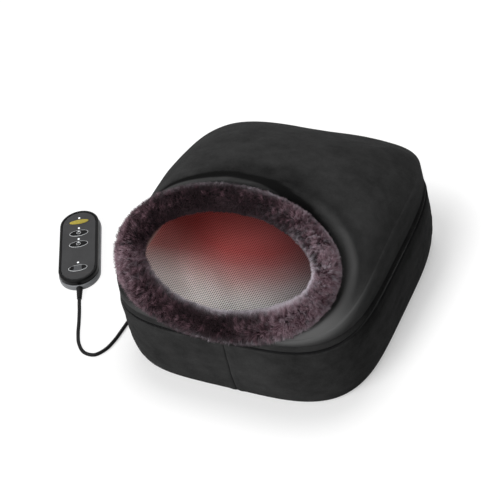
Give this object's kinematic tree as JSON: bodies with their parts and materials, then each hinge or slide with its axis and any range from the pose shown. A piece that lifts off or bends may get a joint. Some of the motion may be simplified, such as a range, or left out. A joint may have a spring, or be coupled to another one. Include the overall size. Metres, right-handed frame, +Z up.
{
  "type": "shiatsu foot massager",
  "caption": "Padded foot massager: flat cushion base with turning kneading heads under a mesh panel, zipped hood with plush-edged mouth, and a corded handset.",
  "frame": {"origin": "centre of the base cushion's flat underside, on the floor", "axes": "+Z up, -Y towards the user (the mouth and collar), +X to the user's right when the feet are in the mouth"},
  "size_m": [0.5456, 0.4904, 0.2302],
  "materials": {
    "black_velour": "short-pile velour",
    "plum_fur": "long-pile plush",
    "plum_lining": "brushed lining",
    "padding_foam": "foam wadding",
    "pale_mesh": "open woven mesh",
    "black_zip": "woven tape with coil teeth",
    "zip_metal": "black enamel",
    "grip_cloth": "dotted non-slip cloth",
    "black_housing": "moulded",
    "white_gear": "moulded acetal",
    "red_node": "translucent moulding",
    "steel": "turned",
    "circuit_board": "solder mask",
    "black_trim": "satin moulding",
    "black_rubber": "moulded",
    "grey_shell": "satin moulding",
    "grey_face": "satin moulding",
    "yellow_key": "satin moulding",
    "black_key": "satin moulding",
    "grey_key": "satin moulding",
    "clear_light": "clear moulding",
    "black_cord": "smooth jacket"
  },
  "bodies": {
    "base": {"band_left": "black_velour", "band_right": "black_velour", "foam_surround": "padding_foam", "foam_pad": "padding_foam", "mesh_panel": "pale_mesh", "zip_tape_lower": "black_zip", "bottom_cover": "grip_cloth", "chassis_tray": "black_housing", "gearbox_cover": "black_housing", "motor_clamp": "black_housing", "rear_port": "black_housing", "motor": "steel", "idler_pin_left": "steel", "idler_pin_right": "steel", "control_board": "circuit_board", "lamp_board": "circuit_board", "handset_board": "circuit_board", "power_inlet": "black_trim", "cord_gland": "black_rubber", "handset_back_shell": "grey_shell", "handset_rim": "black_trim", "handset_face": "grey_face", "key_mat": "black_rubber", "light_guide": "clear_light", "handset_screw_1": "steel", "handset_screw_2": "steel", "handset_boot": "black_rubber", "handset_cord_coil": "black_cord", "handset_cord_loose": "black_cord", "handset_cord_tail": "black_cord", "coil_tie": "black_rubber", "cover_screw_1": "steel", "cover_screw_2": "steel", "cover_screw_3": "steel", "cover_screw_4": "steel"},
    "hood": {"hood_panel": "black_velour", "hood_gusset": "black_velour", "hood_padding": "padding_foam", "hood_lining": "plum_lining", "fur_collar": "plum_fur", "zip_tape_upper": "black_zip"},
    "slider": {"zip_slider": "zip_metal"},
    "pull": {"zip_pull": "zip_metal"},
    "head_left": {"head_gear_left": "white_gear", "head_arm_left": "black_housing", "kneading_node_left_1": "red_node", "kneading_node_left_2": "red_node", "kneading_node_left_3": "red_node"},
    "head_right": {"head_gear_right": "white_gear", "head_arm_right": "black_housing", "kneading_node_right_1": "red_node", "kneading_node_right_2": "red_node", "kneading_node_right_3": "red_node"},
    "idler_left": {"idler_gear_left": "white_gear"},
    "idler_right": {"idler_gear_right": "white_gear"},
    "worm": {"motor_worm": "steel"},
    "power_button_cap": {"power_button": "yellow_key"},
    "program_button_cap": {"program_button": "black_key"},
    "heat_button_cap": {"heat_button": "black_key"},
    "timer_button_cap": {"timer_button": "grey_key"}
  },
  "joints": [
    {"name": "hood_hinge", "type": "hinge", "parent": "base", "child": "hood", "pos_m": [0, 0.1905, 0.09515], "axis": [-1, 0, 0], "range_deg": [0, 90]},
    {"name": "zip_slide", "type": "slide", "parent": "base", "child": "slider", "axis": [-0.0363, -0.9993, 0], "range_m": [0, 0.11]},
    {"name": "zip_pull_swing", "type": "hinge", "parent": "slider", "child": "pull", "pos_m": [-0.17525, 0.0622, 0.09705], "axis": [0.0363, 0.9993, 0], "range_deg": [-8, 120]},
    {"name": "head_left_spin", "type": "hinge", "parent": "base", "child": "head_left", "pos_m": [-0.0642, -0.005, 0.055], "axis": [0, 0, 1], "continuous": true},
    {"name": "head_right_spin", "type": "hinge", "parent": "base", "child": "head_right", "pos_m": [0.0642, -0.005, 0.055], "axis": [0, 0, 1], "continuous": true},
    {"name": "idler_left_spin", "type": "hinge", "parent": "base", "child": "idler_left", "pos_m": [-0.0252, -0.005, 0.031], "axis": [0, 0, 1], "continuous": true},
    {"name": "idler_right_spin", "type": "hinge", "parent": "base", "child": "idler_right", "pos_m": [0.0252, -0.005, 0.031], "axis": [0, 0, 1], "continuous": true},
    {"name": "worm_spin", "type": "hinge", "parent": "base", "child": "worm", "pos_m": [0, -0.005, 0.026], "axis": [0, 1, 0], "continuous": true},
    {"name": "power_button_press", "type": "slide", "parent": "base", "child": "power_button_cap", "axis": [0, 0, -1], "range_m": [0, 0.0008], "stiffness_N_per_m": 600, "springref_m": -0.0004},
    {"name": "program_button_press", "type": "slide", "parent": "base", "child": "program_button_cap", "axis": [0, 0, -1], "range_m": [0, 0.0008], "stiffness_N_per_m": 600, "springref_m": -0.0004},
    {"name": "heat_button_press", "type": "slide", "parent": "base", "child": "heat_button_cap", "axis": [0, 0, -1], "range_m": [0, 0.0008], "stiffness_N_per_m": 600, "springref_m": -0.0004},
    {"name": "timer_button_press", "type": "slide", "parent": "base", "child": "timer_button_cap", "axis": [0, 0, -1], "range_m": [0, 0.0008], "stiffness_N_per_m": 600, "springref_m": -0.0004}
  ],
  "couplings": [
    {"joint": "head_right_spin", "follows": "head_left_spin", "ratio": -1},
    {"joint": "idler_left_spin", "follows": "head_left_spin", "ratio": -3.3333},
    {"joint": "idler_right_spin", "follows": "head_left_spin", "ratio": 3.3333},
    {"joint": "worm_spin", "follows": "head_left_spin", "ratio": 40}
  ]
}
